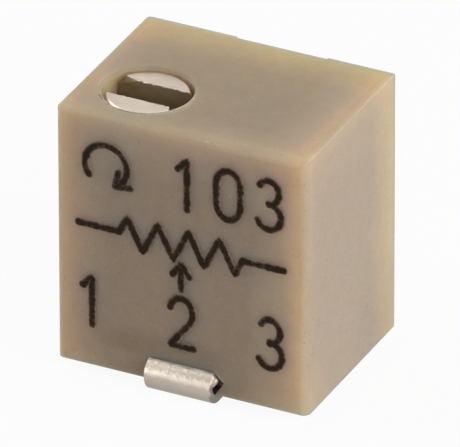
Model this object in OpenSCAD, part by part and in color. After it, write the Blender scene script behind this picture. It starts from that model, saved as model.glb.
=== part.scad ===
// Sealed multiturn trimmer potentiometer for surface mounting, adjusted from the top.
// A slotted screw carries a one-start worm that turns a worm wheel inside the case. The wheel
// carries a spring wiper over a resistive arc on a ceramic plate, and the open back of the case
// is filled with epoxy. Three bent strip terminals tuck under the case.
// Millimetres. X runs along the marked face, Y from the marked face to the back, Z up.
// The origin is the middle of the footprint, on the solder plane.

/* [Case] */
// Width of the case along its marked face
case_w = 4.8; // [4.7:0.05:5.4]
// Depth of the case from its marked face to its back
case_d = 3.44; // [3.44:0.02:4.2]
// Height of the case without its terminals
case_h = 5; // [4.96:0.02:5.8]
// Gap between the case and the board
standoff = 0.22; // [0.2:0.01:0.3]
// Radius of the top and front edges
edge_r = 0.18; // [0.05:0.01:0.24]
// Thickness of the side and top walls around the epoxy
rim_t = 0.32; // [0.25:0.01:0.36]
// Radius of the screw's bore through the top
bore_r = 0.81; // [0.79:0.005:0.84]

/* [Adjustment screw] */
// Distance from the left side of the case to the screw's axis
screw_from_side = 1.24; // [1.18:0.01:1.28]
// Distance from the marked face to the screw's axis
screw_from_front = 1.1; // [1.1:0.01:1.2]
// Radius of the screw's head
head_r = 0.755; // [0.7:0.005:0.76]
// Height of the screw's head
head_h = 0.7; // [0.65:0.01:0.75]
// Depth of the head's top below the top of the case
head_sink = 0.05; // [0:0.01:0.1]
// Width of the driver slot
slot_w = 0.59; // [0.4:0.01:0.65]
// Depth of the driver slot
slot_depth = 0.5; // [0.3:0.01:0.6]
// Direction of the driver slot in the middle of its travel
slot_angle = 0; // [-180:1:180]

/* [Worm drive] */
// Number of teeth on the worm wheel
wheel_teeth = 14; // [13:1:14]
// Gear module, the wheel's pitch diameter over its teeth
gear_module = 0.18; // [0.17:0.002:0.184]
// Pitch radius of the worm
worm_r = 0.5; // [0.48:0.01:0.52]
// Play between each tooth flank and the thread
flank_play = 0.04; // [0.035:0.005:0.05]
// Width of the wheel's teeth
tooth_w = 0.8; // [0.6:0.05:0.85]
// Height of the wheel's axis above the bottom of the case
wheel_height = 2.23; // [2.2:0.01:2.3]
// Turns of the screw from stop to stop
mechanical_turns = 12; // [8:0.5:12]
// Turns of the screw while the wiper is on the track
electrical_turns = 11; // [7:0.5:11]

/* [Resistive element] */
// Thickness of the ceramic plate
plate_t = 0.5; // [0.4:0.02:0.6]
// Thickness of the printed films
film_t = 0.03; // [0.02:0.005:0.04]
// Middle radius of the resistive track
track_r = 1.04; // [1:0.01:1.06]
// Width of the resistive track
track_w = 0.28; // [0.24:0.01:0.3]

/* [Terminals] */
// Width of the terminal strip outside the case
strip_w = 1.24; // [1.1:0.01:1.3]
// Thickness of the terminal strip
strip_t = 0.15; // [0.12:0.01:0.16]
// Width of the terminal strip inside the case
neck_w = 0.84; // [0.6:0.02:0.9]
// Distance between the two terminals at the back
terminal_pitch = 2.54; // [2.4:0.02:2.6]
// Reach of a terminal's bend beyond the case
bow = 0.21; // [0.18:0.01:0.24]
// Distance that a foot runs back under the case
foot_run = 0.92; // [0.6:0.02:1.1]

/* [Hidden] */
$fn = 64;

// The case's faces
left = -case_w / 2;
front = -case_d / 2;
back = case_d / 2;
top = standoff + case_h;
base_r = 0.02;
ridge_r = 0.03;
heel_r = 0.06;
cut = 1;

// Worm drive: a rack-like thread of one start that meshes with the wheel
lead = PI * gear_module;
lead_angle = atan(lead / (2 * PI * worm_r));
addendum = 0.83 * gear_module;
dedendum = 1.25 * gear_module;
pressure_angle = 20;
worm_tip_r = worm_r + addendum;
worm_root_r = worm_r - dedendum;
shoulder_r = worm_tip_r + 0.02;
wheel_r = gear_module * wheel_teeth / 2;
wheel_tip_r = wheel_r + addendum;
wheel_root_r = wheel_r - dedendum;
wheel_x = left + screw_from_side + wheel_r + worm_r;
wheel_y = front + screw_from_front;
wheel_z = standoff + wheel_height;
tooth_angle = 360 / wheel_teeth;
half_travel = 180 * mechanical_turns / wheel_teeth;
half_track = 180 * electrical_turns / wheel_teeth;

// The screw's lands and grooves, from its head down to its tail
screw_x = left + screw_from_side;
screw_y = front + screw_from_front;
screw_top = top - head_sink;
head_bottom = screw_top - head_h;
seal_groove_r = 0.46;
seal_h = bore_r - seal_groove_r + 0.05;
collar_top = head_bottom - seal_h;
collar_h = 0.12;
clip_groove_top = collar_top - collar_h;
clip_groove_h = 0.26;
clip_groove_r = 0.41;
shoulder_top = clip_groove_top - clip_groove_h;
shoulder_h = 0.1;
worm_top = shoulder_top - shoulder_h;
worm_reach = 1.03;
worm_bottom = wheel_z - worm_reach;
tail_r = 0.36;
tail_h = 0.55;
tail_bottom = worm_bottom - tail_h;
screw_bevel = 0.05;
thread_sides = 20;
thread_steps = 18;
thread_sink = 0.02;

// Play of the turning pieces in the case
turn_play = 0.02;
face_play = 0.01;
worm_play = 0.05;

// The retainer's slot is a little narrower than the bore
slot_half = bore_r - 0.01;
clip_reach = 0.62;

// The cavity behind the marked face, and the wheel's lug and the case's post that stop it
front_wall = 0.4;
cavity_r = wheel_tip_r + 0.09;
cavity_front = front + front_wall;
wall_level = wheel_y - cavity_front;
pivot_r = 0.4;
stop_w = 0.28;
stop_r = wheel_root_r - 0.035 - stop_w / 2;
hub_r = stop_r - stop_w / 2 - 0.1;
stop_play = 0.05;
lug_half = 12;
post_half = 180 - half_travel - lug_half - 2;

// The ceramic plate, seated behind the wheel, with its films towards the wheel
plate_y = wheel_y + 0.99;
film_y = plate_y - film_t;
seat_step = 0.06;
seat_x = case_w / 2 - rim_t - seat_step;
seat_top = top - rim_t - seat_step;
seat_play = 0.02;
seat_cut = 0.1;

// Terminals: the strip leaves the case level, bends down outside it and turns under it
strip_top = standoff + 0.43;
strip_bottom = strip_top - strip_t;
pocket_depth = 0.33;
pocket_flare = 0.17;
pocket_waist = 0.26;
pocket_play = 0.015;
tab_top = strip_top + 0.35;
tab_y = film_y - strip_t;
shoulder_bend = 0.02;
shoulder_slope = 0.1;
foot_bend = 0.24;

// Pads of film behind the tabs, and the films that lead to them from the track's ends
pad_top = tab_top + 0.17;
pad_half = neck_w / 2 + 0.06;
lead_half = 0.12;
run_half = 0.15;
end_angle = 14;
run_top = wheel_z + (track_r + track_w / 2) * cos(half_track) - 0.02;
trough_top = tab_top + 0.22;
trough_half = terminal_pitch / 2 + pad_half;

// The wiper's contact points run on the films at these heights in the wheel's own frame
film_level = wheel_y - film_y;
wheel_back = -0.6;
spring_t = 0.06;
spring_middle = wheel_back - spring_t / 2;
knuckle_r = 0.07;
knuckle_level = film_level + face_play + knuckle_r;
collector_r = 0.54;
collector_w = 0.28;
finger_w = 0.06;
finger_t = 0.04;
finger_gap = 0.03;

// The two pins of the wheel that hold the wiper, spread over it like rivets
stake_r = 0.63;
stake_pin_r = 0.07;
stake_head_r = 0.1;
stake_head_h = 0.05;

// The epoxy's pool in the open back
pool_w = case_w - 2 * rim_t;
pool_h = top - rim_t - strip_bottom;
pool_r = 0.2;
pool_front = plate_y + plate_t;
epoxy_y = back - 0.07;
dish_r = 30;
dish_depth = 0.05;

// A box between its lowest and its highest corner
module box(low, high) {
    translate(low) cube(high - low);
}

// A rectangle from the origin, with a radius for each corner, anticlockwise from the origin
module outline(w, h, radii) {
    difference() {
        square([w, h]);
        for (i = [0 : 3]) {
            if (radii[i] > 0) {
                translate([[0, 0], [w, 0], [w, h], [0, h]][i]) rotate(90 * i) difference() {
                    translate([-cut, -cut]) square(radii[i] + cut);
                    translate([radii[i], radii[i]]) circle(radii[i]);
                }
            }
        }
    }
}

// A band between two radii and two angles, about the origin
module band(r_in, r_out, from, to) {
    middle = (from + to) / 2;
    reach = 2 * r_out;
    intersection() {
        difference() {
            circle(r_out);
            circle(r_in);
        }
        polygon([[0, 0],
                 reach * [cos(from), sin(from)],
                 reach * [cos(middle), sin(middle)],
                 reach * [cos(to), sin(to)]]);
    }
}

// The wheel's own frame: its axis is Z, towards the marked face, and Y is up
module wheel_frame() {
    translate([wheel_x, wheel_y, wheel_z]) rotate([90, 0, 0]) children();
}

// The screw's own frame: its axis is Z
module screw_frame() {
    translate([screw_x, screw_y, 0]) children();
}

// A film or plate in the wheel's own frame, from one level to another
module layer(from, to) {
    translate([0, 0, from]) linear_extrude(to - from) children();
}

// ---- Case ----

// The moulded block, soft at the marked face and along the top's left edge, and sharp elsewhere
module case_block() {
    intersection() {
        translate([left, front, standoff])
            linear_extrude(case_h) outline(case_w, case_d, [edge_r, edge_r, 0, 0]);
        translate([left, back, standoff]) rotate([90, 0, 0])
            linear_extrude(case_d) outline(case_w, case_h, [base_r, base_r, ridge_r, edge_r]);
        translate([left, front, standoff]) rotate([90, 0, 90])
            linear_extrude(case_w) outline(case_d, case_h, [base_r, heel_r, 0, edge_r]);
    }
}

// The screw's stepped bore, blind at its lower end
module screw_bore() {
    screw_frame() {
        layer(shoulder_top, top + cut) circle(bore_r);
        layer(worm_bottom - thread_sink - turn_play, shoulder_top + cut)
            circle(worm_tip_r + worm_play);
        layer(tail_bottom - turn_play, worm_bottom) circle(tail_r + turn_play);
    }
}

// The slot that takes the retainer from the open back
module retainer_slot() {
    box([screw_x - slot_half, screw_y - clip_reach - turn_play, shoulder_top],
        [screw_x + slot_half, plate_y + seat_cut, clip_groove_top]);
}

// The pocket below a terminal at the marked face. Its right side flares to a point half way up,
// which leaves an opening beside the strip
module terminal_pocket() {
    half = strip_w / 2 + pocket_play;
    flare_z = standoff + pocket_waist;
    translate([0, front + pocket_depth, 0]) rotate([90, 0, 0]) linear_extrude(pocket_depth + cut)
        polygon([[-half, standoff - cut], [half, standoff - cut], [half, standoff],
                 [half + pocket_flare, flare_z], [half, strip_top], [-half, strip_top]]);
}

// The epoxy's pool, from behind the ceramic plate to a face further back
module pool(to) {
    translate([-pool_w / 2, to, strip_bottom]) rotate([90, 0, 0])
        linear_extrude(to - pool_front) outline(pool_w, pool_h, [0, 0, pool_r, pool_r]);
}

// The open back: a seat for the ceramic plate, and a wider pool for the epoxy
module back_recess() {
    box([-seat_x - seat_play, plate_y, strip_bottom],
        [seat_x + seat_play, back + cut, seat_top + seat_play]);
    pool(back + cut);
}

// The trough in front of the plate that clears the soldered tabs, and above it a shallow
// one that clears the films between the track and the pads
module tab_trough() {
    film_half = terminal_pitch / 2 + run_half + 0.05;
    box([-trough_half, tab_y - 0.03, strip_bottom],
        [trough_half, plate_y + seat_cut, trough_top]);
    box([-film_half, film_y - turn_play, strip_top],
        [film_half, plate_y + seat_cut, run_top + 0.05]);
}

// The shallow relief of the mould's gate in the top of the back rim
module gate_relief() {
    gate_sink = 0.04;
    gate_left = -0.6;
    gate_right = 1.12;
    box([gate_left, back - gate_sink, top - rim_t - cut], [gate_right, back + cut, top + cut]);
}

module case() {
    color([0.66, 0.58, 0.5]) {
        difference() {
            case_block();
            wheel_frame() layer(film_level - seat_cut, wall_level) circle(cavity_r);
            screw_bore();
            retainer_slot();
            back_recess();
            tab_trough();
            gate_relief();
            terminal_pocket();
            for (x = [-terminal_pitch / 2, terminal_pitch / 2]) {
                translate([x, 0, 0]) rotate([0, 0, 180]) terminal_pocket();
            }
            neck(front + pocket_depth, tab_y);
        }
        // the pin that the wheel turns on, and the post that stops its lug
        wheel_frame() {
            layer(spring_middle, wall_level + front_wall / 2) circle(pivot_r);
            layer(tooth_w / 2 + stop_play, wall_level + front_wall / 2)
                band(stop_r - stop_w / 2, stop_r + stop_w / 2, -90 - post_half, -90 + post_half);
        }
    }
}

// ---- Adjustment screw ----

// Radius of the thread at a share of one turn, from the middle of its root
function thread_radius(turn) =
    let (away = abs(turn - round(turn)) * lead,
         root_half = (lead / 2 - 2 * dedendum * tan(pressure_angle) + flank_play) / 2,
         rise = (away - root_half) / tan(pressure_angle))
    worm_root_r + min(max(rise, 0), addendum + dedendum);

// The worm: the thread's outline across the axis, turned once for each lead of height,
// with its ends sunk into the shoulder above and the tail below
module worm() {
    from = worm_bottom - thread_sink;
    turns = (worm_top + thread_sink - from) / lead;
    translate([0, 0, from]) rotate(360 * (from - wheel_z) / lead)
        linear_extrude(turns * lead, twist = -360 * turns, slices = round(thread_steps * turns),
                       $fn = thread_sides)
            polygon([for (i = [0 : thread_sides - 1])
                let (turn = i / thread_sides)
                thread_radius(turn) * [cos(360 * turn), sin(360 * turn)]]);
}

module adjustment_screw() {
    color([0.82, 0.77, 0.71]) screw_frame() {
        difference() {
            rotate_extrude() polygon([
                [0, worm_top], [shoulder_r, worm_top], [shoulder_r, shoulder_top],
                [clip_groove_r, shoulder_top], [clip_groove_r, clip_groove_top],
                [head_r, clip_groove_top], [head_r, collar_top],
                [seal_groove_r, collar_top], [seal_groove_r, head_bottom],
                [head_r, head_bottom], [head_r, screw_top - screw_bevel],
                [head_r - screw_bevel, screw_top], [0, screw_top]]);
            rotate(slot_angle) box([-cut, -slot_w / 2, screw_top - slot_depth],
                                   [cut, slot_w / 2, screw_top + cut]);
        }
        worm();
        rotate_extrude() polygon([
            [0, tail_bottom], [tail_r - screw_bevel, tail_bottom],
            [tail_r, tail_bottom + screw_bevel], [tail_r, worm_bottom], [0, worm_bottom]]);
    }
}

// The rubber ring in the groove below the head
module screw_seal_ring() {
    ring_r = (bore_r - seal_groove_r) / 2 - face_play;
    color([0.72, 0.3, 0.16]) screw_frame()
        translate([0, 0, collar_top + seal_h / 2])
            rotate_extrude() translate([(bore_r + seal_groove_r) / 2, 0]) circle(ring_r);
}

// The forked plate that holds the screw down, slid in from the back around its lower groove
module screw_retainer() {
    half = slot_half - turn_play;
    arm_end = screw_y - clip_reach;
    fork_r = clip_groove_r + turn_play;
    color([0.78, 0.77, 0.74]) translate([0, 0, shoulder_top + turn_play])
        linear_extrude(clip_groove_h - 2 * turn_play) difference() {
            translate([screw_x - half, arm_end]) square([2 * half, plate_y - turn_play - arm_end]);
            translate([screw_x, screw_y]) circle(fork_r);
            translate([screw_x - fork_r, arm_end - cut]) square([2 * fork_r, clip_reach + cut]);
        }
}

// ---- Worm wheel ----

// Involute of an angle, in degrees
function involute(a) = tan(a) * 180 / PI - a;

// Half the angle that a tooth takes up at a radius
function tooth_half(r) =
    let (base_r = wheel_r * cos(pressure_angle),
         slope = r > base_r ? acos(base_r / r) : 0,
         at_pitch = 90 * (lead / 2 - flank_play) / (PI * wheel_r))
    at_pitch + involute(pressure_angle) - involute(slope);

// A straight tooth, laid along the thread that it meshes with
module wheel_tooth() {
    steps = 6;
    foot_r = wheel_root_r - 0.06;
    end_r = wheel_tip_r + 0.02;
    flank = [for (i = [0 : steps]) foot_r + (end_r - foot_r) * i / steps];
    rotate([-lead_angle, 0, 0]) layer(-tooth_w, tooth_w)
        polygon(concat(
            [for (r = flank) r * [cos(tooth_half(r)), -sin(tooth_half(r))]],
            [for (i = [steps : -1 : 0]) flank[i] * [cos(tooth_half(flank[i])),
                                                    sin(tooth_half(flank[i]))]]));
}

module worm_wheel() {
    overlap = 0.1;
    hub_front = wall_level - face_play;
    stake_end = wheel_back - spring_t - stake_head_h;
    color([0.9, 0.87, 0.8]) wheel_frame() difference() {
        union() {
            intersection() {
                layer(-tooth_w / 2, tooth_w / 2) circle(wheel_tip_r);
                union() {
                    layer(-tooth_w, tooth_w) circle(wheel_root_r);
                    for (i = [0 : wheel_teeth - 1]) rotate(180 + i * tooth_angle) wheel_tooth();
                }
            }
            layer(tooth_w / 2 - overlap, hub_front) circle(hub_r);
            layer(wheel_back, overlap - tooth_w / 2) circle(wheel_root_r - 2 * overlap);
            layer(tooth_w / 2 - overlap, hub_front - stop_play / 2)
                band(stop_r - stop_w / 2, stop_r + stop_w / 2, 90 - lug_half, 90 + lug_half);
            for (side = [-1, 1]) translate([side * stake_r, 0, 0]) {
                layer(stake_end, wheel_back + overlap) circle(stake_pin_r);
                layer(stake_end, wheel_back - spring_t) circle(stake_head_r);
            }
        }
        layer(film_level, wall_level) circle(pivot_r + turn_play);
    }
}

// ---- Wiper ----

// Parallel spring fingers from the spring's plate down to their knuckles on a film
module fingers(start, tip, count) {
    way = tip - start;
    drop = spring_middle - knuckle_level;
    length = norm([way.x, way.y, drop]);
    pitch = finger_w + finger_gap;
    translate([start.x, start.y, spring_middle])
        rotate([0, asin(drop / length), atan2(way.y, way.x)])
            for (i = [0 : count - 1]) translate([0, (i - (count - 1) / 2) * pitch, 0]) {
                box([0, -finger_w / 2, -finger_t / 2], [length, finger_w / 2, finger_t / 2]);
                translate([length, finger_w / 2, 0]) rotate([90, 0, 0])
                    cylinder(r = knuckle_r, h = finger_w);
            }
}

// The stamped spring, with three fingers on the track and two on the collector
module wiper_spring() {
    spring_r = 0.78;
    arm_angle = 30;
    arm_start = track_r * [cos(arm_angle + 6), sin(arm_angle + 6)];
    arm_low = -0.12;
    arm_high = 0.16;
    tongue_start = [-0.58, -0.17];
    tongue_tip = [0, -collector_r];
    tongue_angle = atan2(tongue_tip.y - tongue_start.y, tongue_tip.x - tongue_start.x);
    window_half = 0.11;
    window_start = 0.04;
    color([0.86, 0.82, 0.7]) wheel_frame() {
        layer(wheel_back - spring_t, wheel_back) difference() {
            union() {
                circle(spring_r);
                rotate(arm_angle) translate([stake_r, arm_low])
                    square([track_r + track_w / 2 - stake_r - 0.02, arm_high - arm_low]);
            }
            circle(pivot_r + 2 * turn_play);
            for (side = [-1, 1]) translate([side * stake_r, 0]) circle(stake_pin_r + face_play / 2);
            translate(tongue_start) rotate(tongue_angle) translate([window_start, -window_half])
                square([spring_r, 2 * window_half]);
        }
        fingers(arm_start, [0, track_r], 3);
        fingers(tongue_start, tongue_tip, 2);
    }
}

// ---- Ceramic plate and its films ----

module element_plate() {
    color([0.93, 0.92, 0.88])
        box([-seat_x, plate_y, strip_top], [seat_x, plate_y + plate_t, seat_top]);
}

// A rectangle of film, given in the case's frame
module film_patch(x0, x1, z0, z1) {
    layer(film_level - film_t, film_level)
        translate([x0 - wheel_x, z0 - wheel_z]) square([x1 - x0, z1 - z0]);
}

// A curved stretch of film between two angles from straight up, clockwise as seen from the front
module film_arc(r, w, from, to) {
    translate([0, 0, film_level - film_t]) rotate([0, 0, 90 - to])
        rotate_extrude(angle = to - from) translate([r - w / 2, 0]) square([w, film_t]);
}

module resistive_track() {
    color([0.12, 0.12, 0.13]) wheel_frame() film_arc(track_r, track_w, -half_track, half_track);
}

// The collector ring, its lead down through the gap in the track and its pad
module collector_film() {
    pad_z = pad_top - 0.07;
    color([0.75, 0.73, 0.7]) wheel_frame() {
        film_arc(collector_r, collector_w, 0, 360);
        film_patch(wheel_x - lead_half, wheel_x + lead_half, strip_top, wheel_z - collector_r);
        film_patch(-pad_half, max(pad_half, wheel_x + lead_half), strip_top, pad_z);
    }
}

// The film from an end of the track, at a side of the wheel, to the pad of the terminal there
module end_film(side) {
    pad_x = side * terminal_pitch / 2;
    end_x = wheel_x + side * track_r * sin(half_track + end_angle);
    outer = side * (half_track + end_angle);
    inner = side * half_track;
    color([0.75, 0.73, 0.7]) wheel_frame() {
        film_arc(track_r, track_w, min(outer, inner), max(outer, inner));
        film_patch(min(pad_x, end_x), max(pad_x, end_x), run_top - run_half, run_top);
        film_patch(pad_x - run_half, pad_x + run_half, strip_top, run_top);
        film_patch(pad_x - pad_half, pad_x + pad_half, strip_top, pad_top);
    }
}

module end_film_1() {
    end_film(-1);
}

module end_film_3() {
    end_film(1);
}

// ---- Terminals ----

// Outline of the bend, seen from the side: outwards is X and up is Y, from the marked face
module bend_outline() {
    outer = shoulder_bend + strip_t;
    first = [bow - outer - shoulder_slope * cos(45), strip_top - outer];
    second = first + shoulder_slope * [cos(45), -sin(45)];
    foot_outer = foot_bend + strip_t;
    translate([-pocket_depth, strip_bottom]) square([first.x + pocket_depth, strip_t]);
    translate(first) {
        band(shoulder_bend, outer, 45, 90);
        rotate(-45) translate([0, shoulder_bend]) square([shoulder_slope, strip_t]);
    }
    translate(second) band(shoulder_bend, outer, 0, 45);
    translate([bow - strip_t, foot_outer]) square([strip_t, second.y - foot_outer]);
    translate([bow - foot_outer, foot_outer]) band(foot_bend, foot_outer, -90, 0);
    translate([-foot_run, 0]) square([bow - foot_outer + foot_run, strip_t]);
}

// The bent end of a terminal at the marked face
module bent_end() {
    translate([0, front, 0]) rotate([90, 0, -90])
        linear_extrude(strip_w, center = true) bend_outline();
}

// The narrow stretch of a terminal inside the case
module neck(from, to) {
    box([-neck_w / 2, from, strip_bottom], [neck_w / 2, to, strip_top]);
}

// The tab turned up in front of the ceramic plate
module tab() {
    box([-neck_w / 2, tab_y, strip_bottom], [neck_w / 2, film_y, tab_top]);
}

// A terminal at the back, whose neck passes below the ceramic plate
module back_terminal(x) {
    translate([x, 0, 0]) {
        rotate([0, 0, 180]) bent_end();
        neck(tab_y, back - pocket_depth);
        tab();
    }
}

module terminal_1() {
    color([0.78, 0.75, 0.7]) back_terminal(-terminal_pitch / 2);
}

module terminal_2() {
    color([0.78, 0.75, 0.7]) {
        bent_end();
        neck(front + pocket_depth, film_y);
        tab();
    }
}

module terminal_3() {
    color([0.78, 0.75, 0.7]) back_terminal(terminal_pitch / 2);
}

// The fillet of solder between the top of a tab and the film behind it
module solder_fillet(x) {
    half = neck_w / 2 - 0.03;
    toe = 0.15 * strip_t;
    color([0.7, 0.7, 0.71]) translate([x - half, tab_y, tab_top]) rotate([90, 0, 90])
        linear_extrude(2 * half) difference() {
            square(strip_t);
            translate([0, strip_t]) circle(strip_t - toe);
        }
}

module solder_joint_1() {
    solder_fillet(-terminal_pitch / 2);
}

module solder_joint_2() {
    solder_fillet(0);
}

module solder_joint_3() {
    solder_fillet(terminal_pitch / 2);
}

// ---- Epoxy ----

// The filling of the open back, slightly dished, around the terminals and below the plate
module epoxy_seal() {
    color([0.55, 0.5, 0.42]) difference() {
        union() {
            pool(epoxy_y);
            box([-seat_x, plate_y, strip_bottom], [seat_x, pool_front + seat_cut, strip_top]);
        }
        translate([0, epoxy_y + dish_r - dish_depth, strip_bottom + pool_h / 2])
            sphere(dish_r, $fn = 256);
        for (x = [-terminal_pitch / 2, terminal_pitch / 2]) {
            translate([x, 0, 0]) {
                neck(tab_y, back);
                rotate([0, 0, 180]) bent_end();
            }
        }
    }
}

case();
adjustment_screw();
screw_seal_ring();
screw_retainer();
worm_wheel();
wiper_spring();
element_plate();
resistive_track();
collector_film();
end_film_1();
end_film_3();
terminal_1();
terminal_2();
terminal_3();
solder_joint_1();
solder_joint_2();
solder_joint_3();
epoxy_seal();
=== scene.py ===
import math

import bmesh
import bpy
from mathutils import Matrix, Vector, noise


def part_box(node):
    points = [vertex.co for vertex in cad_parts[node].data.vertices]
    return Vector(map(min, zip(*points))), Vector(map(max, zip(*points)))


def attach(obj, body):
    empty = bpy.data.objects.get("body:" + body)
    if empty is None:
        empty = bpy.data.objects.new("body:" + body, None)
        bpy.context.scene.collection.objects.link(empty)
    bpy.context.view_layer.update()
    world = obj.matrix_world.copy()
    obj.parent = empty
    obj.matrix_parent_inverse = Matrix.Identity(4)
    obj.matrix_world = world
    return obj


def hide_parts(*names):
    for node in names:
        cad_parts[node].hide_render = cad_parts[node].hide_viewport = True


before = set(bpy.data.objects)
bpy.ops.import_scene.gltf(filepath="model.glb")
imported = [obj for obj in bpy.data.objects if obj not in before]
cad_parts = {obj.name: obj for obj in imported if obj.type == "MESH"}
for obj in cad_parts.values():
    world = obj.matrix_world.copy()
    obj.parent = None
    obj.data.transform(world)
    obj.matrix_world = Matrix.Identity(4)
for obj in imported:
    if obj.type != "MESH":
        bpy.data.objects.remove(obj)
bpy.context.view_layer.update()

# ---- Ceramic element ----
# A plate of white alumina. The resistive track is a dark fired cermet film on its front, and
# the collector ring, the two end films and the solder pads are fired silver.
MM = 0.001


def new_finish(name, **sockets):
    """A material of this name, with constant values set on the shader itself."""
    finish = bpy.data.materials.new(name)
    finish.use_nodes = True
    tree = finish.node_tree
    shader = tree.nodes["Principled BSDF"]
    for socket, value in sockets.items():
        shader.inputs[socket.replace("_", " ")].default_value = value
    return finish, tree, shader


def add(tree, kind, settings=None, **inputs):
    """A node, its settings, and its inputs: each a value, or an output to link from."""
    made = tree.nodes.new(kind)
    for setting, value in (settings or {}).items():
        setattr(made, setting, value)
    for name, value in inputs.items():
        socket = made.inputs[int(name[1:]) if name[1:].isdigit() else name.replace("_", " ")]
        if isinstance(value, bpy.types.NodeSocket):
            tree.links.new(value, socket)
        else:
            socket.default_value = value
    return made


def sum_of(tree, operation, a, b=0.0):
    """The result of one sum on two values."""
    return add(tree, "ShaderNodeMath", {"operation": operation}, _0=a, _1=b).outputs[0]


def all_of(tree, *shares):
    """Shares multiplied together, so that all of them have to hold."""
    made = shares[0]
    for share in shares[1:]:
        made = sum_of(tree, "MULTIPLY", made, share)
    return made


def place(tree):
    """A point's place on the piece, in millimetres."""
    where = add(tree, "ShaderNodeTexCoord").outputs["Object"]
    scaled = add(tree, "ShaderNodeVectorMath", {"operation": "SCALE"}, _0=where)
    scaled.inputs["Scale"].default_value = 1 / MM
    return scaled.outputs[0]


def split(tree, vector):
    """A vector's three numbers."""
    return add(tree, "ShaderNodeSeparateXYZ", Vector=vector).outputs[:]


def grain(tree, size, detail=3.0, stretch=(1, 1, 1), rough=0.5):
    """Noise with cells of about this size in millimetres."""
    spread = add(tree, "ShaderNodeVectorMath", {"operation": "MULTIPLY"}, _0=place(tree),
                 _1=stretch)
    made = add(tree, "ShaderNodeTexNoise", Vector=spread.outputs[0], Scale=1 / size, Detail=detail,
               Roughness=rough)
    return made.outputs["Fac"]


def ramp(tree, value, *stops):
    """Colours along a value: each stop is a position and a colour."""
    made = add(tree, "ShaderNodeValToRGB", Fac=value)
    band = made.color_ramp
    while len(band.elements) < len(stops):
        band.elements.new(0.5)
    for element, (position, colour) in zip(band.elements, stops):
        element.position = position
        element.color = (*colour, 1)
    return made.outputs["Color"]


def levels(tree, value, low, high, to_low, to_high):
    """The value, moved from one span to another."""
    made = add(tree, "ShaderNodeMapRange", Value=value, From_Min=low, From_Max=high,
               To_Min=to_low, To_Max=to_high)
    return made.outputs[0]


def fade(tree, value, low, high, most=1.0):
    """A share that grows from nothing at the low value to its most at the high one."""
    return levels(tree, value, low, high, 0.0, most)


def blend(tree, share, a, b, kind="MIX"):
    """Colour a, taken towards colour b by a share."""
    made = add(tree, "ShaderNodeMix", {"data_type": "RGBA", "blend_type": kind}, _0=share)
    for socket, value in ((made.inputs[6], a), (made.inputs[7], b)):
        if isinstance(value, bpy.types.NodeSocket):
            tree.links.new(value, socket)
        else:
            socket.default_value = (*value, 1)
    return made.outputs[2]


def layers(tree, tone, *coats):
    """A tone under coats, each a share and a colour."""
    for share, colour in coats:
        tone = blend(tree, share, tone, colour)
    return tone


def relief(tree, shader, height, depth):
    """Bump of this depth in millimetres on a shader."""
    made = add(tree, "ShaderNodeBump", Height=height, Distance=depth * MM, Strength=1.0)
    tree.links.new(made.outputs[0], shader.inputs["Normal"])


def wear(node, finish):
    """Gives a carried-over piece its finish."""
    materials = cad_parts[node].data.materials
    materials.clear()
    materials.append(finish)


def plain_finish(name, nodes, size, dark, light, roughness, depth, detail=3.0,
                 stretch=(1, 1, 1), span=(0.3, 0.7), **sockets):
    """Dresses carried-over pieces in a finish with one noise in its tone, gloss and relief."""
    finish, tree, shader = new_finish(name, **sockets)
    cells = grain(tree, size, detail, stretch)
    tree.links.new(ramp(tree, cells, (span[0], dark), (span[1], light)),
                   shader.inputs["Base Color"])
    tree.links.new(levels(tree, cells, 0.3, 0.7, *roughness), shader.inputs["Roughness"])
    relief(tree, shader, cells, depth)
    for node in nodes:
        wear(node, finish)


plain_finish("alumina", ["element_plate"], 0.05, (0.82, 0.81, 0.76), (0.9, 0.89, 0.86),
             (0.45, 0.65), 0.004, detail=5, span=(0.3, 0.6), Subsurface_Weight=0.2,
             Subsurface_Scale=0.1 * MM)
plain_finish("cermet_film", ["resistive_track"], 0.03, (0.012, 0.012, 0.014),
             (0.05, 0.048, 0.045), (0.35, 0.6), 0.003, detail=4, span=(0.35, 0.7),
             Specular_IOR_Level=0.4)
plain_finish("silver_film", ["collector_film", "end_film_1", "end_film_3"], 0.04,
             (0.5, 0.47, 0.42), (0.74, 0.72, 0.68), (0.35, 0.6), 0.003, detail=4, Metallic=1.0)

# ---- Terminals ----
# Three strips of copper alloy, blanked and bent, in mottled and pitted matt tin plating, with
# painted highlights and painted shade by height at the bends. Each tab is soldered to its pad
# on the plate.
STRIP_END, STRIP_ROUND = 0.62, 0.02
BULGE_FRONT, BULGE_BACK, BULGE_CUTS = -1.82, -1.68, (-1.7, -1.64)
BULGE_LOW, BULGE_HIGH, BULGE_REACH = 0.38, 0.65, 0.075


def copy_of(node, name):
    """A clean, merged copy of a CAD piece's mesh, to be finished as a new piece."""
    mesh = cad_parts[node].data.copy()
    mesh.name = name
    work = bmesh.new()
    work.from_mesh(mesh)
    bmesh.ops.remove_doubles(work, verts=work.verts, dist=1e-5 * MM)
    bmesh.ops.dissolve_limit(work, angle_limit=math.radians(0.5), verts=work.verts,
                             edges=work.edges, delimit={"NORMAL"})
    return mesh, work


def soften(work, offset, chosen=lambda middle: True, steps=2, angle=25):
    """Rounds the edges that are sharper than this, and that chosen(middle in mm) holds for."""
    edges = [e for e in work.edges
             if len(e.link_faces) == 2 and e.calc_face_angle(0) > math.radians(angle)
             and chosen((e.verts[0].co + e.verts[1].co) / (2 * MM))]
    bmesh.ops.bevel(work, geom=edges, offset=offset * MM, offset_type="OFFSET", segments=steps,
                    profile=0.5, affect="EDGES", clamp_overlap=True)


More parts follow.
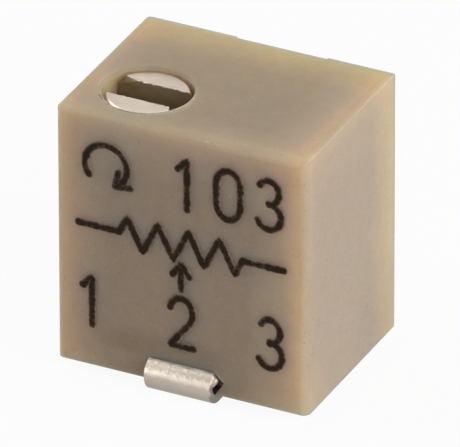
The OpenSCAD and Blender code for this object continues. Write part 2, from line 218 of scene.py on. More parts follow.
def cut_faces(work, faces, point, normal):
    """Cuts those faces along a plane, without taking anything away."""
    around = faces + [e for f in faces for e in f.edges] + [v for f in faces for v in f.verts]
    bmesh.ops.bisect_plane(work, geom=list(dict.fromkeys(around)), dist=1e-4 * MM,
                           plane_co=point, plane_no=normal)


def new_object(name, data):
    """An object of this name, in the scene."""
    made = bpy.data.objects.new(name, data)
    bpy.context.scene.collection.objects.link(made)
    return made


def settle(piece):
    """Makes what a piece's modifiers give into its own plain mesh."""
    view = bpy.context.evaluated_depsgraph_get()
    piece.data = bpy.data.meshes.new_from_object(piece.evaluated_get(view))
    piece.modifiers.clear()


def finish_piece(name, mesh, work, finish, body, node, smooth=40):
    """Writes a finished mesh back, as a piece that rides on a body and stands for a CAD node."""
    bmesh.ops.triangulate(work, faces=[f for f in work.faces if len(f.verts) > 4])
    work.to_mesh(mesh)
    work.free()
    mesh.materials.clear()
    mesh.materials.append(finish)
    for attribute in ("custom_normal", "sharp_edge", "sharp_face"):
        if attribute in mesh.attributes:
            mesh.attributes.remove(mesh.attributes[attribute])
    mesh.shade_smooth()
    mesh.set_sharp_from_angle(angle=math.radians(smooth))
    piece = new_object(name, mesh)
    weighted = piece.modifiers.new("flat faces stay flat", "WEIGHTED_NORMAL")
    weighted.keep_sharp = True
    settle(piece)
    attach(piece, body)
    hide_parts(node)


tin, tree, shader = new_finish("matt_tin", Metallic=1.0)
cloud = grain(tree, 0.32, detail=3, rough=0.5)
mottle = grain(tree, 0.075, detail=5, rough=0.7)
specks = grain(tree, 0.028, detail=2)
x, y, z = split(tree, place(tree))
uneven = sum_of(tree, "ADD", z, levels(tree, mottle, 0.3, 0.7, -0.035, 0.035))
plating = ramp(tree, cloud, (0.3, (0.50, 0.425, 0.36)), (0.5, (0.585, 0.51, 0.435)),
               (0.72, (0.64, 0.57, 0.49)))
# Painted shade on the lower part of the strip's cut end
cut_end_shade = all_of(tree, fade(tree, x, STRIP_END - 0.022, STRIP_END - 0.005),
                 fade(tree, x, STRIP_END + 0.025, STRIP_END + 0.015),
                 fade(tree, z, 0.32, 0.22, 0.85))
plating = layers(
    tree, plating,
    (fade(tree, mottle, 0.52, 0.7, 0.5), (0.42, 0.37, 0.31)),
    (fade(tree, specks, 0.66, 0.74, 0.8), (0.86, 0.8, 0.71)),
    # Painted by height, from the upper bend down: a painted highlight, a darker band, a painted
    # highlight band, then a middle tone and painted shade darker to the foot
    (fade(tree, uneven, 0.5, 0.55, 0.7), (0.44, 0.385, 0.325)),
    (fade(tree, uneven, 0.59, 0.66, 0.95), (0.88, 0.8, 0.7)),
    (fade(tree, uneven, 0.46, 0.41, 0.6), (0.52, 0.455, 0.385)),
    (fade(tree, uneven, 0.4, 0.12, 0.9), (0.33, 0.28, 0.245)),
    (all_of(tree, fade(tree, uneven, 0.41, 0.46), fade(tree, uneven, 0.545, 0.5), 0.55),
     (0.8, 0.725, 0.63)),
    # painted shade on the cut end, low down
    (cut_end_shade, (0.19, 0.155, 0.13)))
tree.links.new(plating, shader.inputs["Base Color"])
tree.links.new(levels(tree, mottle, 0.3, 0.7, 0.3, 0.5), shader.inputs["Roughness"])
relief(tree, shader, sum_of(tree, "ADD", all_of(tree, specks, 0.4), mottle), 0.018)


def squeeze_out(work):
    """Metal pressed out sideways inside the upper bend, at the right end of the middle strip."""
    right = max(v.co.x for v in work.verts)
    for y in BULGE_CUTS:
        end = [f for f in work.faces if all(v.co.x > right - 1e-3 * MM for v in f.verts)]
        cut_faces(work, end, (0, y * MM, 0), (0, 1, 0))
    for vertex in work.verts:
        y, z = vertex.co.y / MM, vertex.co.z / MM
        if vertex.co.x > right - 1e-3 * MM and BULGE_FRONT < y < BULGE_BACK and z > BULGE_LOW:
            reach = min(BULGE_REACH, 0.8 * max(0.0, BULGE_HIGH - z), 0.9 * (z - BULGE_LOW))
            vertex.co.x += reach * min(1.0, (y - BULGE_FRONT) / 0.05) * MM


for number in "123":
    name = "terminal_strip_" + number
    mesh, work = copy_of("terminal_" + number, name)
    if number == "2":
        squeeze_out(work)
    soften(work, STRIP_ROUND)
    finish_piece(name, mesh, work, tin, "case", "terminal_" + number)

plain_finish("solder", ["solder_joint_1", "solder_joint_2", "solder_joint_3"], 0.06,
             (0.5, 0.5, 0.5), (0.68, 0.68, 0.69), (0.2, 0.4), 0.006, Metallic=1.0)

# ---- Case ----
# One moulding in a filled, tan-grey thermoplastic that light passes into a little, so that its
# edges and thin walls look warmer and lighter than the middle of its faces; painted light in its
# tone adds to that along the edges.
CASE_LOW, CASE_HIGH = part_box("case")
CASE_LEFT, CASE_FRONT, CASE_BOTTOM = CASE_LOW / MM
CASE_RIGHT, CASE_BACK, CASE_TOP = CASE_HIGH / MM
BORE_X, BORE_Y, BORE_R = -1.16, -0.62, 0.81
BORE_ROUND, EDGE_ROUND = 0.007, 0.018
CLOSE = 0.004


def at_bore(middle):
    """True at the mouth of the screw's bore."""
    return (middle.z > CASE_TOP - 0.01
            and math.hypot(middle.x - BORE_X, middle.y - BORE_Y) < BORE_R + 0.04)


def at_outside(middle):
    """True on the outer faces of the case, away from the bore."""
    gap = min(middle.x - CASE_LEFT, CASE_RIGHT - middle.x, middle.y - CASE_FRONT,
              CASE_BACK - middle.y, CASE_TOP - middle.z)
    return abs(gap) < CLOSE and not at_bore(middle)


case_plastic, tree, shader = new_finish(
    "case_plastic", Subsurface_Weight=1.0, Subsurface_Scale=1.3 * MM,
    Subsurface_Radius=(1.0, 0.7, 0.42), Specular_IOR_Level=0.35)
x, y, z = split(tree, place(tree))
flow = levels(tree, grain(tree, 1.5, detail=2), 0.3, 0.7, -0.12, 0.12)
tint = grain(tree, 0.9, detail=2, stretch=(1, 1, 0.7))
mottle = grain(tree, 0.24, detail=5, rough=0.6)
spark = grain(tree, 0.04, detail=4)
dust = grain(tree, 0.045, detail=2, rough=0.4)
to_top = sum_of(tree, "SUBTRACT", CASE_TOP, z)
to_right, to_left, to_back = (sum_of(tree, "ADD", sum_of(tree, "SUBTRACT", far, near), flow)
                              for far, near in ((CASE_RIGHT, x), (x, CASE_LEFT), (CASE_BACK, y)))
to_corner = sum_of(tree, "ADD", to_right, fade(tree, z, 1.5, 3.5, 0.3))
to_right = sum_of(tree, "SUBTRACT", to_right, levels(tree, z, 0.4, 2.6, 0.25, 0.0))
sides = fade(tree, sum_of(tree, "ABSOLUTE", x), CASE_RIGHT - 0.2, CASE_RIGHT - 0.02)
between = sum_of(tree, "SUBTRACT", 1.0, sides)

# The faces, each in a tone of its own, in part painted light and shade: a painted shadow on the
# front over the strip, painted shade on the sides low down at the back
off_middle = sum_of(tree, "ABSOLUTE", sum_of(tree, "ADD", x, 0.3))
shadow_over_strip = all_of(tree, fade(tree, z, 1.25, 0.95), fade(tree, z, 0.6, 0.75),
                    fade(tree, off_middle, 1.4, 0.8, 0.75))
front_tone = ramp(tree, tint, (0.3, (0.45, 0.335, 0.245)), (0.7, (0.435, 0.34, 0.252)))
front_tone = blend(tree, shadow_over_strip, front_tone, (0.36, 0.27, 0.19))
side_tone = layers(
    tree, (0.462, 0.362, 0.275),
    # Painted shade low down at the back of the sides, then painted light low down at their front
    (all_of(tree, fade(tree, z, 2.0, 0.7), fade(tree, y, -0.2, 1.0)), (0.41, 0.325, 0.25)),
    (all_of(tree, fade(tree, z, 1.2, 0.4), fade(tree, y, -0.8, -1.5)), (0.53, 0.4, 0.285)))
# The top: painted light towards its back, where the wall is thin, and a lighter tone towards its
# front
top_tone = layers(tree, (0.475, 0.363, 0.245), (fade(tree, y, 0.0, 0.9), (0.56, 0.4, 0.255)),
                  (fade(tree, y, -1.0, -1.5), (0.54, 0.42, 0.285)))

# Painted light along the edges, where light would come through the plastic
top_band_light = blend(tree, sides, (0.59, 0.465, 0.345), (0.515, 0.4, 0.29))
top_edge_light = blend(tree, sides, (0.53, 0.41, 0.295), (0.48, 0.365, 0.25))
corner_glow = blend(tree, fade(tree, z, 1.2, 0.5), (0.7, 0.572, 0.425), (0.77, 0.62, 0.48))
side_glow = blend(tree, fade(tree, z, 0.6, 2.0), (0.55, 0.405, 0.265), (0.635, 0.465, 0.295))
back_glow = blend(tree, sides, (0.86, 0.565, 0.3), side_glow)
off_back = levels(tree, y, CASE_BACK - 0.005, CASE_BACK - 0.03, 0.35, 1.0)

# The bore: its wall, painted lighter at the back, a ring of painted shade at its rim, and dashes
# of painted shadow from the gap at the front of its mouth
flat = add(tree, "ShaderNodeCombineXYZ", X=x, Y=y).outputs[0]
off_axis = add(tree, "ShaderNodeVectorMath", {"operation": "DISTANCE"}, _0=flat,
               _1=(BORE_X, BORE_Y, 0)).outputs["Value"]
in_bore = all_of(tree, fade(tree, off_axis, BORE_R + 0.025, BORE_R + 0.002),
                 fade(tree, to_top, 1.2, 0.6))
wall = blend(tree, fade(tree, x, BORE_X - 0.75, BORE_X - 0.35), (0.5, 0.41, 0.235),
             (0.44, 0.34, 0.24))
# Painted light on the back part of the bore's wall
wall = blend(tree, fade(tree, y, BORE_Y + 0.3, BORE_Y + 0.7), wall, (0.57, 0.44, 0.315))
# A ring of painted shade on the lip of the bore
rim = all_of(tree, fade(tree, off_axis, BORE_R + 0.035, BORE_R + 0.015, 0.7),
             fade(tree, to_top, 0.04, 0.015))
# Painted shadow of the gap between head and bore, in dashes at the front of the mouth
gap_shadow = all_of(tree, fade(tree, off_axis, BORE_R + 0.06, BORE_R + 0.04),
               fade(tree, grain(tree, 0.22, detail=4), 0.42, 0.5, 0.8),
               fade(tree, y, BORE_Y - 0.2, BORE_Y - 0.45), fade(tree, to_top, 0.02, 0.01))
# Painted shade in the pocket that the front strip comes out of, at the strip's right end
pocket_shade = all_of(tree, fade(tree, x, 0.85, 0.82), fade(tree, x, 0.54, 0.6),
                fade(tree, y, CASE_FRONT + 0.006, CASE_FRONT + 0.02),
                fade(tree, y, CASE_FRONT + 0.6, CASE_FRONT + 0.5),
                fade(tree, z, 0.68, 0.665), fade(tree, z, CASE_BOTTOM, CASE_BOTTOM + 0.03))

tone = layers(
    tree, front_tone, (sides, side_tone),
    # Painted light along the top, the right edge, the near corner, the left edge and the back
    (fade(tree, to_top, 1.1, 0.15, 0.75), top_band_light),
    (fade(tree, to_top, 0.12, 0.05, 0.6), top_edge_light),
    (fade(tree, to_top, 0.04, 0.0), top_tone),
    (all_of(tree, fade(tree, to_right, 1.1, 0.25), between), (0.635, 0.492, 0.343)),
    (all_of(tree, fade(tree, to_corner, 0.35, 0.05), between), corner_glow),
    (all_of(tree, fade(tree, to_left, 1.0, 0.3, 0.65), between), (0.6, 0.475, 0.34)),
    (all_of(tree, fade(tree, to_back, 0.95, 0.12), off_back), back_glow),
    # The bore's wall, the painted shade at its rim and the painted shadow of the gap
    (in_bore, wall), (rim, (0.36, 0.275, 0.185)), (gap_shadow, (0.1, 0.075, 0.05)))
tone = blend(tree, 1.0, tone, ramp(tree, mottle, (0.3, (0.93, 0.93, 0.93)), (0.7, (1, 1, 1))),
             "MULTIPLY")
# The pocket's painted shade, then specks of dust
tone = layers(tree, tone, (pocket_shade, (0.1, 0.06, 0.03)),
              (fade(tree, dust, 0.68, 0.74, 0.5), (0.25, 0.18, 0.12)),
              (fade(tree, dust, 0.3, 0.25, 0.4), (0.72, 0.6, 0.46)))
tree.links.new(tone, shader.inputs["Base Color"])
tree.links.new(levels(tree, spark, 0.3, 0.7, 0.5, 0.65), shader.inputs["Roughness"])
inner = sum_of(tree, "MAXIMUM", in_bore, pocket_shade)
tree.links.new(levels(tree, inner, 0.0, 1.0, 0.35, 0.02), shader.inputs["Specular IOR Level"])
relief(tree, shader, sum_of(tree, "ADD", spark, all_of(tree, mottle, 2.0)), 0.005)

mesh, work = copy_of("case", "moulded_case")
soften(work, BORE_ROUND, at_bore, steps=1)
soften(work, EDGE_ROUND, at_outside, angle=40)
finish_piece("moulded_case", mesh, work, case_plastic, "case", "case", smooth=35)

# ---- Worm wheel and wiper ----
# The wheel is moulded in a natural white plastic. The wiper is one stamping in a plated spring
# alloy, held by two pins of the wheel that are spread over it.
plain_finish("wheel_plastic", ["worm_wheel"], 0.12, (0.74, 0.7, 0.6), (0.82, 0.79, 0.7),
             (0.35, 0.5), 0.004, Subsurface_Weight=0.3, Subsurface_Scale=0.2 * MM)
plain_finish("spring_alloy", ["wiper_spring"], 0.03, (0.72, 0.65, 0.48), (0.84, 0.78, 0.62),
             (0.22, 0.4), 0.002, stretch=(1, 1, 0.2), Metallic=1.0)

# ---- Adjustment screw, its seal ring and its retainer ----
# The screw is turned in brass, slotted with a saw that leaves burrs, and nickel-plated. A
# rubber ring seals it in its bore, and a forked steel plate holds it down.
SCREW_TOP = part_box("adjustment_screw")[1].z / MM
HEAD_MIDDLE = Vector((BORE_X, BORE_Y, SCREW_TOP))
SLOT_HALF, SLOT_DEPTH = 0.295, 0.5
SAW_CUTS, SAW_ROUND, BURR_BAND = 36, 0.006, 0.05
# Corners of the head that the saw broke off: where on the slot's edge, where on the rim, drop
BROKEN_CORNERS = [((0.549, -SLOT_HALF), (0.603, -0.454), 0.3),
                  ((-0.3, SLOT_HALF), (-0.633, 0.411), 0.12)]


def broken_way(inner, outer):
    """The way across the line from inner to outer, out to the corner beyond it."""
    line = (Vector(outer) - Vector(inner)).normalized()
    way = Vector((line.y, -line.x))
    return way if way.x * inner[0] > 0 else -way


plated_brass, tree, shader = new_finish("plated_brass")
centred = add(tree, "ShaderNodeVectorMath", {"operation": "SUBTRACT"}, _0=place(tree),
              _1=tuple(HEAD_MIDDLE))
x, y, z = split(tree, centred.outputs[0])
radius = sum_of(tree, "SQRT", sum_of(tree, "ADD", all_of(tree, x, x), all_of(tree, y, y)))
rings = add(tree, "ShaderNodeTexNoise", {"noise_dimensions": "1D"}, W=radius, Scale=45.0,
            Detail=3.0).outputs["Fac"]
smear = grain(tree, 0.25, detail=4)
scuff = grain(tree, 0.1, detail=4, stretch=(0.4, 1, 1), rough=0.65)
off_slot = sum_of(tree, "ABSOLUTE", y)
# Darker, rougher and not metallic: the slot's walls and floor, and the broken corners
dark_slot_and_breaks = all_of(tree, fade(tree, off_slot, SLOT_HALF + 0.012, SLOT_HALF + 0.004),
              fade(tree, z, -0.012, -0.03),
              fade(tree, z, -SLOT_DEPTH - 0.05, -SLOT_DEPTH - 0.01))
for inner, outer, _ in BROKEN_CORNERS:
    way = broken_way(inner, outer)
    start = way.dot(Vector(inner))
    beyond = sum_of(tree, "ADD", all_of(tree, x, way.x), all_of(tree, y, way.y))
    broken = all_of(tree, fade(tree, beyond, start, start + 0.02), fade(tree, y, 0.0, inner[1]))
    dark_slot_and_breaks = sum_of(tree, "MAXIMUM", dark_slot_and_breaks, broken)
plating = ramp(tree, smear, (0.3, (0.56, 0.475, 0.4)), (0.7, (0.63, 0.54, 0.455)))
plating = blend(tree, fade(tree, scuff, 0.56, 0.7, 0.35), plating, (0.36, 0.3, 0.23))
dark_tone = ramp(tree, scuff, (0.3, (0.24, 0.17, 0.085)), (0.7, (0.33, 0.245, 0.13)))
tree.links.new(blend(tree, dark_slot_and_breaks, plating, dark_tone), shader.inputs["Base Color"])
tree.links.new(sum_of(tree, "SUBTRACT", 1.0, dark_slot_and_breaks), shader.inputs["Metallic"])
tree.links.new(sum_of(tree, "ADD", levels(tree, smear, 0.3, 0.7, 0.26, 0.42),
                      all_of(tree, dark_slot_and_breaks, 0.4)), shader.inputs["Roughness"])
relief(tree, shader, rings, 0.003)


def slice_near(work, point, normal, chosen):
    """Cuts the faces that chosen(middle from the head's middle) holds for, along a plane."""
    faces = [f for f in work.faces if chosen(f.calc_center_median() / MM - HEAD_MIDDLE)]
    cut_faces(work, faces, (HEAD_MIDDLE + Vector(point)) * MM, normal)


def break_corner(work, inner, outer, drop):
    """Slopes down the corner of the head that lies beyond the line from inner to outer."""
    side = math.copysign(1.0, inner[1])
    way = broken_way(inner, outer)
    slice_near(work, (*inner, 0), (*way, 0), lambda c: c.z > -0.3 and c.y * side > 0)
    for vertex in work.verts:
        spot = vertex.co / MM - HEAD_MIDDLE
        beyond = (spot.xy - Vector(inner)).dot(way)
        if spot.z > -0.06 and spot.y * side > 0.28 and beyond > 1e-3:
            vertex.co.z -= drop * min(1.0, beyond / 0.1) * MM


def saw_burrs(work):
    """Roughens the two long edges of the slot, in narrow strips of their own."""
    for side in (-1, 1):
        slice_near(work, (0, side * (SLOT_HALF + BURR_BAND), 0), (0, 1, 0),
                   lambda c: c.z > -0.01 and c.y * side > 0)
        slice_near(work, (0, 0, -BURR_BAND), (0, 0, 1),
                   lambda c: c.z > -0.3 and abs(c.y - side * SLOT_HALF) < CLOSE)
    for inner, outer, drop in BROKEN_CORNERS:
        break_corner(work, inner, outer, drop)
    edges = [e for e in work.edges if all(
        v.co.z / MM > SCREW_TOP - CLOSE and abs(abs(v.co.y / MM - BORE_Y) - SLOT_HALF) < CLOSE
        for v in e.verts)]
    cut = bmesh.ops.subdivide_edges(work, edges=edges, cuts=SAW_CUTS)
    for vertex in {g for g in cut["geom_inner"] if isinstance(g, bmesh.types.BMVert)}:
        x, y = vertex.co.x / MM - BORE_X, vertex.co.y / MM - BORE_Y
        side = math.copysign(1.0, y)
        ragged = noise.noise(Vector((x * 11.0, side * 3.0, 0.0)))
        fine = noise.noise(Vector((x * 34.0, side * 5.0, 1.0)))
        vertex.co.y -= side * (0.014 * ragged + 0.008 * fine + 0.002) * MM
        vertex.co.z += 0.006 * fine * MM


mesh, work = copy_of("adjustment_screw", "slotted_screw")
saw_burrs(work)
soften(work, SAW_ROUND, lambda middle: middle.z > SCREW_TOP - SLOT_DEPTH - 0.06, angle=30,
       steps=1)
finish_piece("slotted_screw", mesh, work, plated_brass, "screw", "adjustment_screw",
             smooth=30)

plain_finish("seal_rubber", ["screw_seal_ring"], 0.04, (0.34, 0.06, 0.02), (0.46, 0.1, 0.035),
             (0.55, 0.7), 0.003, Specular_IOR_Level=0.3)
plain_finish("retainer_steel", ["screw_retainer"], 0.04, (0.5, 0.49, 0.46), (0.64, 0.63, 0.6),
             (0.25, 0.42), 0.003, stretch=(1, 0.15, 1), Metallic=1.0)

# ---- Epoxy ----
# Poured into the open back and cured: slightly translucent, glossy and dished. A few small
# bubbles have risen to its face and set there.
epoxy, tree, shader = new_finish("epoxy", Subsurface_Weight=0.25, Subsurface_Scale=0.06 * MM,
                                 Coat_Weight=0.4, Coat_Roughness=0.12)
cloud = grain(tree, 0.8, detail=3)
fine = grain(tree, 0.08, detail=3)
tree.links.new(ramp(tree, cloud, (0.3, (0.5, 0.33, 0.16)), (0.7, (0.6, 0.43, 0.24))),
               shader.inputs["Base Color"])
tree.links.new(levels(tree, fine, 0.3, 0.7, 0.2, 0.35), shader.inputs["Roughness"])
relief(tree, shader, sum_of(tree, "ADD", cloud, all_of(tree, fine, 0.15)), 0.03)
wear("epoxy_seal", epoxy)


def new_tree(name, **inputs):
    """A geometry tree with one mesh input and named sizes. Returns the tree and its inputs."""
    tree = bpy.data.node_groups.new(name, "GeometryNodeTree")
    tree.interface.new_socket("Geometry", in_out="INPUT", socket_type="NodeSocketGeometry")
    for size, kind in inputs.items():
        tree.interface.new_socket(size.replace("_", " "), in_out="INPUT",
                                  socket_type="NodeSocket" + kind)
    tree.interface.new_socket("Geometry", in_out="OUTPUT", socket_type="NodeSocketGeometry")
    return tree, add(tree, "NodeGroupInput").outputs


def end_tree(tree, shape, finish):
    """Ends a geometry tree: real meshes, in one finish."""
    real = add(tree, "GeometryNodeRealizeInstances", Geometry=shape)
    smooth = add(tree, "GeometryNodeSetShadeSmooth", Geometry=real.outputs[0])
    dressed = add(tree, "GeometryNodeSetMaterial", Geometry=smooth.outputs[0], Material=finish)
    end = add(tree, "NodeGroupOutput")
    tree.links.new(dressed.outputs[0], end.inputs[0])


def grow(name, source, tree, finish, **sizes):
    """Runs a geometry tree on a mesh, and returns an object with the plain mesh it makes."""
    maker = new_object(name, source)
    growth = maker.modifiers.new("growth", "NODES")
    growth.node_group = tree
    for item in tree.interface.items_tree:
        if item.in_out == "INPUT" and item.name.replace(" ", "_") in sizes:
            growth[item.identifier] = sizes[item.name.replace(" ", "_")]
    settle(maker)
    maker.data.materials.clear()
    maker.data.materials.append(finish)
    return maker


tree, sizes = new_tree("bubbles_on_a_face", Count_per_Face_Area="Float", Smallest="Float",
                       Largest="Float", Seed="Int")
backward = split(tree, add(tree, "GeometryNodeInputNormal").outputs[0])[1]
outside = add(tree, "FunctionNodeCompare", {"operation": "GREATER_THAN"}, _0=backward, _1=0.9)
spots = add(tree, "GeometryNodeDistributePointsOnFaces", Mesh=sizes["Geometry"],
            Selection=outside.outputs[0], Density=sizes["Count per Face Area"], Seed=sizes["Seed"])
spread = add(tree, "FunctionNodeRandomValue", {"data_type": "FLOAT"}, _2=sizes["Smallest"],
             _3=sizes["Largest"], Seed=sizes["Seed"])
ball = add(tree, "GeometryNodeMeshIcoSphere", Radius=1.0, Subdivisions=2)
low = add(tree, "GeometryNodeTransform", Geometry=ball.outputs[0], Scale=(1.0, 0.45, 1.0))
bubbles = add(tree, "GeometryNodeInstanceOnPoints", Points=spots.outputs[0],
              Instance=low.outputs[0], Scale=spread.outputs[1])
end_tree(tree, bubbles.outputs[0], epoxy)
bubbles = grow("epoxy_bubbles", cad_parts["epoxy_seal"].data.copy(), tree, epoxy,
               Count_per_Face_Area=3.2e6, Smallest=0.012 * MM, Largest=0.04 * MM, Seed=7)
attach(bubbles, "case")

# ---- Printed marks ----
# Plain marks in dark ink, a few hundredths thick, printed on the front once the case is
# sealed: which way the screw turns, a value in figures, and the track with its terminals.
INK_WIDTH, INK_THICKNESS, INK_STEP, INK_WANDER = 0.152, 0.024, 0.035, 0.016
FIGURE_W, FIGURE_H = 0.46, 0.95
VALUE_ROW, TRACK_ROW, NUMBER_ROW = (CASE_BOTTOM + above for above in (3.52, 2.78, 0.8))
TURN_X, TURN_Z = -1.42, CASE_BOTTOM + 4.0

marking_ink, tree, shader = new_finish("marking_ink", Specular_IOR_Level=0.1)
patchy = grain(tree, 0.09, detail=4, rough=0.65)
fray = grain(tree, 0.05, detail=3)
proud = sum_of(tree, "SUBTRACT", CASE_FRONT, split(tree, place(tree))[1])
proud = sum_of(tree, "ADD", proud, levels(tree, fray, 0.3, 0.7, -0.002, 0.002))
ink = ramp(tree, patchy, (0.3, (0.016, 0.0085, 0.004)), (0.62, (0.024, 0.013, 0.007)),
           (0.75, (0.055, 0.034, 0.02)))
ink = layers(tree, (0.33, 0.25, 0.18), (fade(tree, proud, 0.001, 0.0065), (0.15, 0.105, 0.07)),
             (fade(tree, proud, 0.0055, 0.0105), ink))
tree.links.new(ink, shader.inputs["Base Color"])
tree.links.new(levels(tree, patchy, 0.3, 0.7, 0.55, 0.75), shader.inputs["Roughness"])
relief(tree, shader, patchy, 0.004)


def arc(x, z, wide, high, start, end, steps=18):
    """Points along part of an ellipse, by angle from the right, anticlockwise in degrees."""
    turns = [math.radians(start + (end - start) * i / steps) for i in range(steps + 1)]
    return [(x + wide * math.cos(t), z + high * math.sin(t)) for t in turns]


FIGURES = {
    "0": [arc(0.5, 0.68, 0.5, 0.32, 0, 180) + arc(0.5, 0.32, 0.5, 0.32, 180, 360) + [(1.0, 0.68)]],
    "1": [[(0.12, 0.8), (0.5, 1.0), (0.5, 0.0)]],
    "2": [arc(0.5, 0.7, 0.47, 0.3, 165, -38) + [(0.03, 0.0), (1.0, 0.0)]],
    "3": [arc(0.47, 0.755, 0.42, 0.245, 150, -90), arc(0.47, 0.265, 0.5, 0.265, 90, -155)],
}


def figure(character, x, bottom):
    """The strokes of a figure, centred on x."""
    return [[(x + (u - 0.5) * FIGURE_W, bottom + v * FIGURE_H) for u, v in stroke]
            for stroke in FIGURES[character]]


def track_diagram(left, right, middle, swing, turns):
    """A zigzag between two leads."""
    lead = (right - left) * 0.2
    step = (right - left - 2 * lead) / (2 * turns)
    points = [(left, middle), (left + lead, middle)]
    for turn in range(2 * turns):
        points.append((left + lead + step * (turn + 0.5), middle + swing * (-1) ** turn))
    return [points + [(right - lead, middle), (right, middle)]]


strokes = []
for character, x in (("1", 0.12), ("0", 0.9), ("3", 1.68)):
    strokes += figure(character, x, VALUE_ROW)
strokes.append(arc(TURN_X, TURN_Z, 0.4, 0.4, 215, -65, 30))
strokes.append([(TURN_X + 0.46, TURN_Z - 0.33), (TURN_X + 0.17, TURN_Z - 0.37),
                (TURN_X + 0.24, TURN_Z - 0.08)])
strokes += track_diagram(-1.95, 1.95, TRACK_ROW, 0.3, 4)
strokes.append([(0.0, CASE_BOTTOM + 1.92), (0.0, CASE_BOTTOM + 2.38)])
strokes.append([(-0.16, CASE_BOTTOM + 2.2), (0.0, CASE_BOTTOM + 2.42), (0.16, CASE_BOTTOM + 2.2)])
for character, x in (("1", -1.7), ("2", 0.0), ("3", 1.7)):
    strokes += figure(character, x, NUMBER_ROW)

lines = bmesh.new()
for stroke in strokes:
    points = [lines.verts.new((x * MM, CASE_FRONT * MM, z * MM)) for x, z in stroke]
    for start, end in zip(points, points[1:]):
        lines.edges.new((start, end))
drawn = bpy.data.meshes.new("drawn_lines")
lines.to_mesh(drawn)
lines.free()

tree, sizes = new_tree("ink_strokes", Stroke_Width="Float", Thickness="Float", Face="Float",
                       Step="Float", Unevenness="Float")
path = add(tree, "GeometryNodeMeshToCurve", Mesh=sizes["Geometry"])
path = add(tree, "GeometryNodeResampleCurve", {"mode": "LENGTH"}, Curve=path.outputs[0],
           Length=sizes["Step"])
where = add(tree, "GeometryNodeInputPosition").outputs[0]
flow = add(tree, "ShaderNodeTexNoise", Vector=where, Scale=9.0 / MM, Detail=2.0)
shift = add(tree, "ShaderNodeVectorMath", {"operation": "SUBTRACT"}, _0=flow.outputs["Color"],
            _1=(0.5, 0.5, 0.5))
shift = add(tree, "ShaderNodeVectorMath", {"operation": "SCALE"}, _0=shift.outputs[0],
            Scale=sizes["Unevenness"])
path = add(tree, "GeometryNodeSetPosition", Geometry=path.outputs[0], Offset=shift.outputs[0])
swell = levels(tree, flow.outputs["Fac"], 0.25, 0.75, 0.42, 0.58)
half = sum_of(tree, "MULTIPLY", sizes["Stroke Width"], swell)
ring = add(tree, "GeometryNodeCurvePrimitiveCircle", Resolution=10, Radius=1.0)
line = add(tree, "GeometryNodeCurveToMesh", Curve=path.outputs[0], Profile_Curve=ring.outputs[0],
           Scale=half, Fill_Caps=True)
ends = add(tree, "GeometryNodeCurveEndpointSelection")
ball = add(tree, "GeometryNodeMeshUVSphere", Segments=12, Rings=7, Radius=1.0)
tips = add(tree, "GeometryNodeInstanceOnPoints", Points=path.outputs[0],
           Selection=ends.outputs[0], Instance=ball.outputs[0], Scale=half)
tips = add(tree, "GeometryNodeRealizeInstances", Geometry=tips.outputs[0])
both = add(tree, "GeometryNodeJoinGeometry")
tree.links.new(tips.outputs[0], both.inputs[0])
tree.links.new(line.outputs[0], both.inputs[0])
x, y, z = split(tree, where)
squeeze = sum_of(tree, "DIVIDE", sizes["Thickness"], sizes["Stroke Width"])
proud = sum_of(tree, "MULTIPLY", sum_of(tree, "SUBTRACT", y, sizes["Face"]), squeeze)
pressed = add(tree, "ShaderNodeCombineXYZ", X=x, Y=sum_of(tree, "ADD", proud, sizes["Face"]), Z=z)
flat = add(tree, "GeometryNodeSetPosition", Geometry=both.outputs[0], Position=pressed.outputs[0])
end_tree(tree, flat.outputs[0], marking_ink)
printed = grow("printed_marks", drawn, tree, marking_ink, Stroke_Width=INK_WIDTH * MM,
               Thickness=INK_THICKNESS * MM, Face=CASE_FRONT * MM, Step=INK_STEP * MM,
               Unevenness=INK_WANDER * MM)
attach(printed, "case")

# ---- Stage, light and camera ----
# A pale floor under the feet, soft light from the right and from above, and a long lens.
# The floor is clear from beneath, so that the underside can be looked at.
REACH, FLOOR = 0.6, -0.004 * MM
FLOOR_WHITE, FLOOR_GLOW, AMBIENT = 1.035, 0.9, 0.245
floor_mesh = bpy.data.meshes.new("floor")
floor_mesh.from_pydata([(x, y, FLOOR) for x, y in ((-REACH, -REACH), (REACH, -REACH),
                                                   (REACH, REACH), (-REACH, REACH))],
                       [], [(0, 1, 2, 3)])
new_object("floor", floor_mesh)


def seen_directly(tree):
    """1 where the camera sees this, straight or in metal or glass, and 0 for its light."""
    path = add(tree, "ShaderNodeLightPath").outputs
    mirrored = sum_of(tree, "MAXIMUM", path["Is Glossy Ray"], path["Is Transmission Ray"])
    return sum_of(tree, "MAXIMUM", path["Is Camera Ray"], mirrored)


pale = bpy.data.materials.new("pale_floor")
pale.use_nodes = True
tree = pale.node_tree
tree.nodes.clear()
lit = add(tree, "ShaderNodeBsdfDiffuse", Color=(0.7, 0.7, 0.7, 1))
white = add(tree, "ShaderNodeEmission", Color=(1, 1, 1, 1), Strength=FLOOR_WHITE)
mixed = add(tree, "ShaderNodeMixShader", Fac=all_of(tree, seen_directly(tree), FLOOR_GLOW))
tree.links.new(lit.outputs[0], mixed.inputs[1])
tree.links.new(white.outputs[0], mixed.inputs[2])
clear = add(tree, "ShaderNodeBsdfTransparent")
from_beneath = add(tree, "ShaderNodeMixShader",
                   Fac=add(tree, "ShaderNodeNewGeometry").outputs["Backfacing"])
tree.links.new(mixed.outputs[0], from_beneath.inputs[1])
tree.links.new(clear.outputs[0], from_beneath.inputs[2])
end = add(tree, "ShaderNodeOutputMaterial")
tree.links.new(from_beneath.outputs[0], end.inputs["Surface"])
floor_mesh.materials.append(pale)

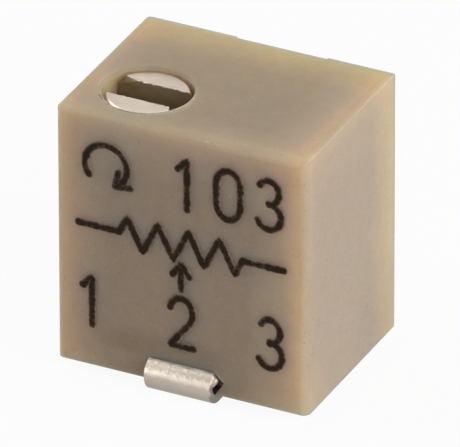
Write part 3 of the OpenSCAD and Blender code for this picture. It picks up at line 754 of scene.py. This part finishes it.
world = bpy.data.worlds.new("studio")
bpy.context.scene.world = world
world.use_nodes = True
tree = world.node_tree
tree.nodes.clear()
backdrop = add(tree, "ShaderNodeBackground", Color=(1, 1, 1, 1),
               Strength=levels(tree, seen_directly(tree), 0, 1, AMBIENT, 1.0))
end = add(tree, "ShaderNodeOutputWorld")
tree.links.new(backdrop.outputs[0], end.inputs["Surface"])

LIGHTS_AIM, LIGHTS_AWAY, LIGHTS_SIZE = Vector((0, 0, 2.6)) * MM, 0.25, 0.2


def soft_light(name, azimuth, elevation, strength):
    """A square soft light, turned towards the object."""
    lamp = bpy.data.lights.new(name, "AREA")
    lamp.shape, lamp.size, lamp.energy = "SQUARE", LIGHTS_SIZE, strength
    turn, rise = math.radians(azimuth), math.radians(elevation)
    way = Vector((math.sin(turn) * math.cos(rise), -math.cos(turn) * math.cos(rise),
                  math.sin(rise)))
    stand = new_object(name, lamp)
    stand.location = LIGHTS_AIM + way * LIGHTS_AWAY
    stand.rotation_euler = (-way).to_track_quat("-Z", "Y").to_euler()
    stand.visible_camera = False


soft_light("key", azimuth=80, elevation=19, strength=0.565)
soft_light("left", azimuth=-80, elevation=20, strength=0.3)
soft_light("top", azimuth=200, elevation=70, strength=0.035)

# The camera looks from a little right of the marked face and 30 degrees above
AZIMUTH, ELEVATION, ROLL = (math.radians(turn) for turn in (26.071, 29.7746, -0.126))
DISTANCE = 0.25263
FOCAL_LENGTH, SENSOR = 1146.9, 36.0
AIM_RIGHT, AIM_UP = 0.076 * MM, 2.03 * MM
back = Vector((math.sin(AZIMUTH) * math.cos(ELEVATION), -math.cos(AZIMUTH) * math.cos(ELEVATION),
               math.sin(ELEVATION)))
level = Vector((math.cos(AZIMUTH), math.sin(AZIMUTH), 0))
rise = back.cross(level)
right = math.cos(ROLL) * level + math.sin(ROLL) * rise
up = math.cos(ROLL) * rise - math.sin(ROLL) * level
lens = bpy.data.cameras.new("camera")
lens.lens, lens.sensor_width = FOCAL_LENGTH, SENSOR
lens.clip_start, lens.clip_end = 0.01, 5.0
camera = new_object("camera", lens)
camera.matrix_world = Matrix((right, up, back)).transposed().to_4x4()
camera.location = (Vector((0, 0, CASE_LOW.z)) + right * AIM_RIGHT + up * AIM_UP
                   + back * DISTANCE)
bpy.context.scene.camera = camera
bpy.context.scene.view_settings.view_transform = "Standard"
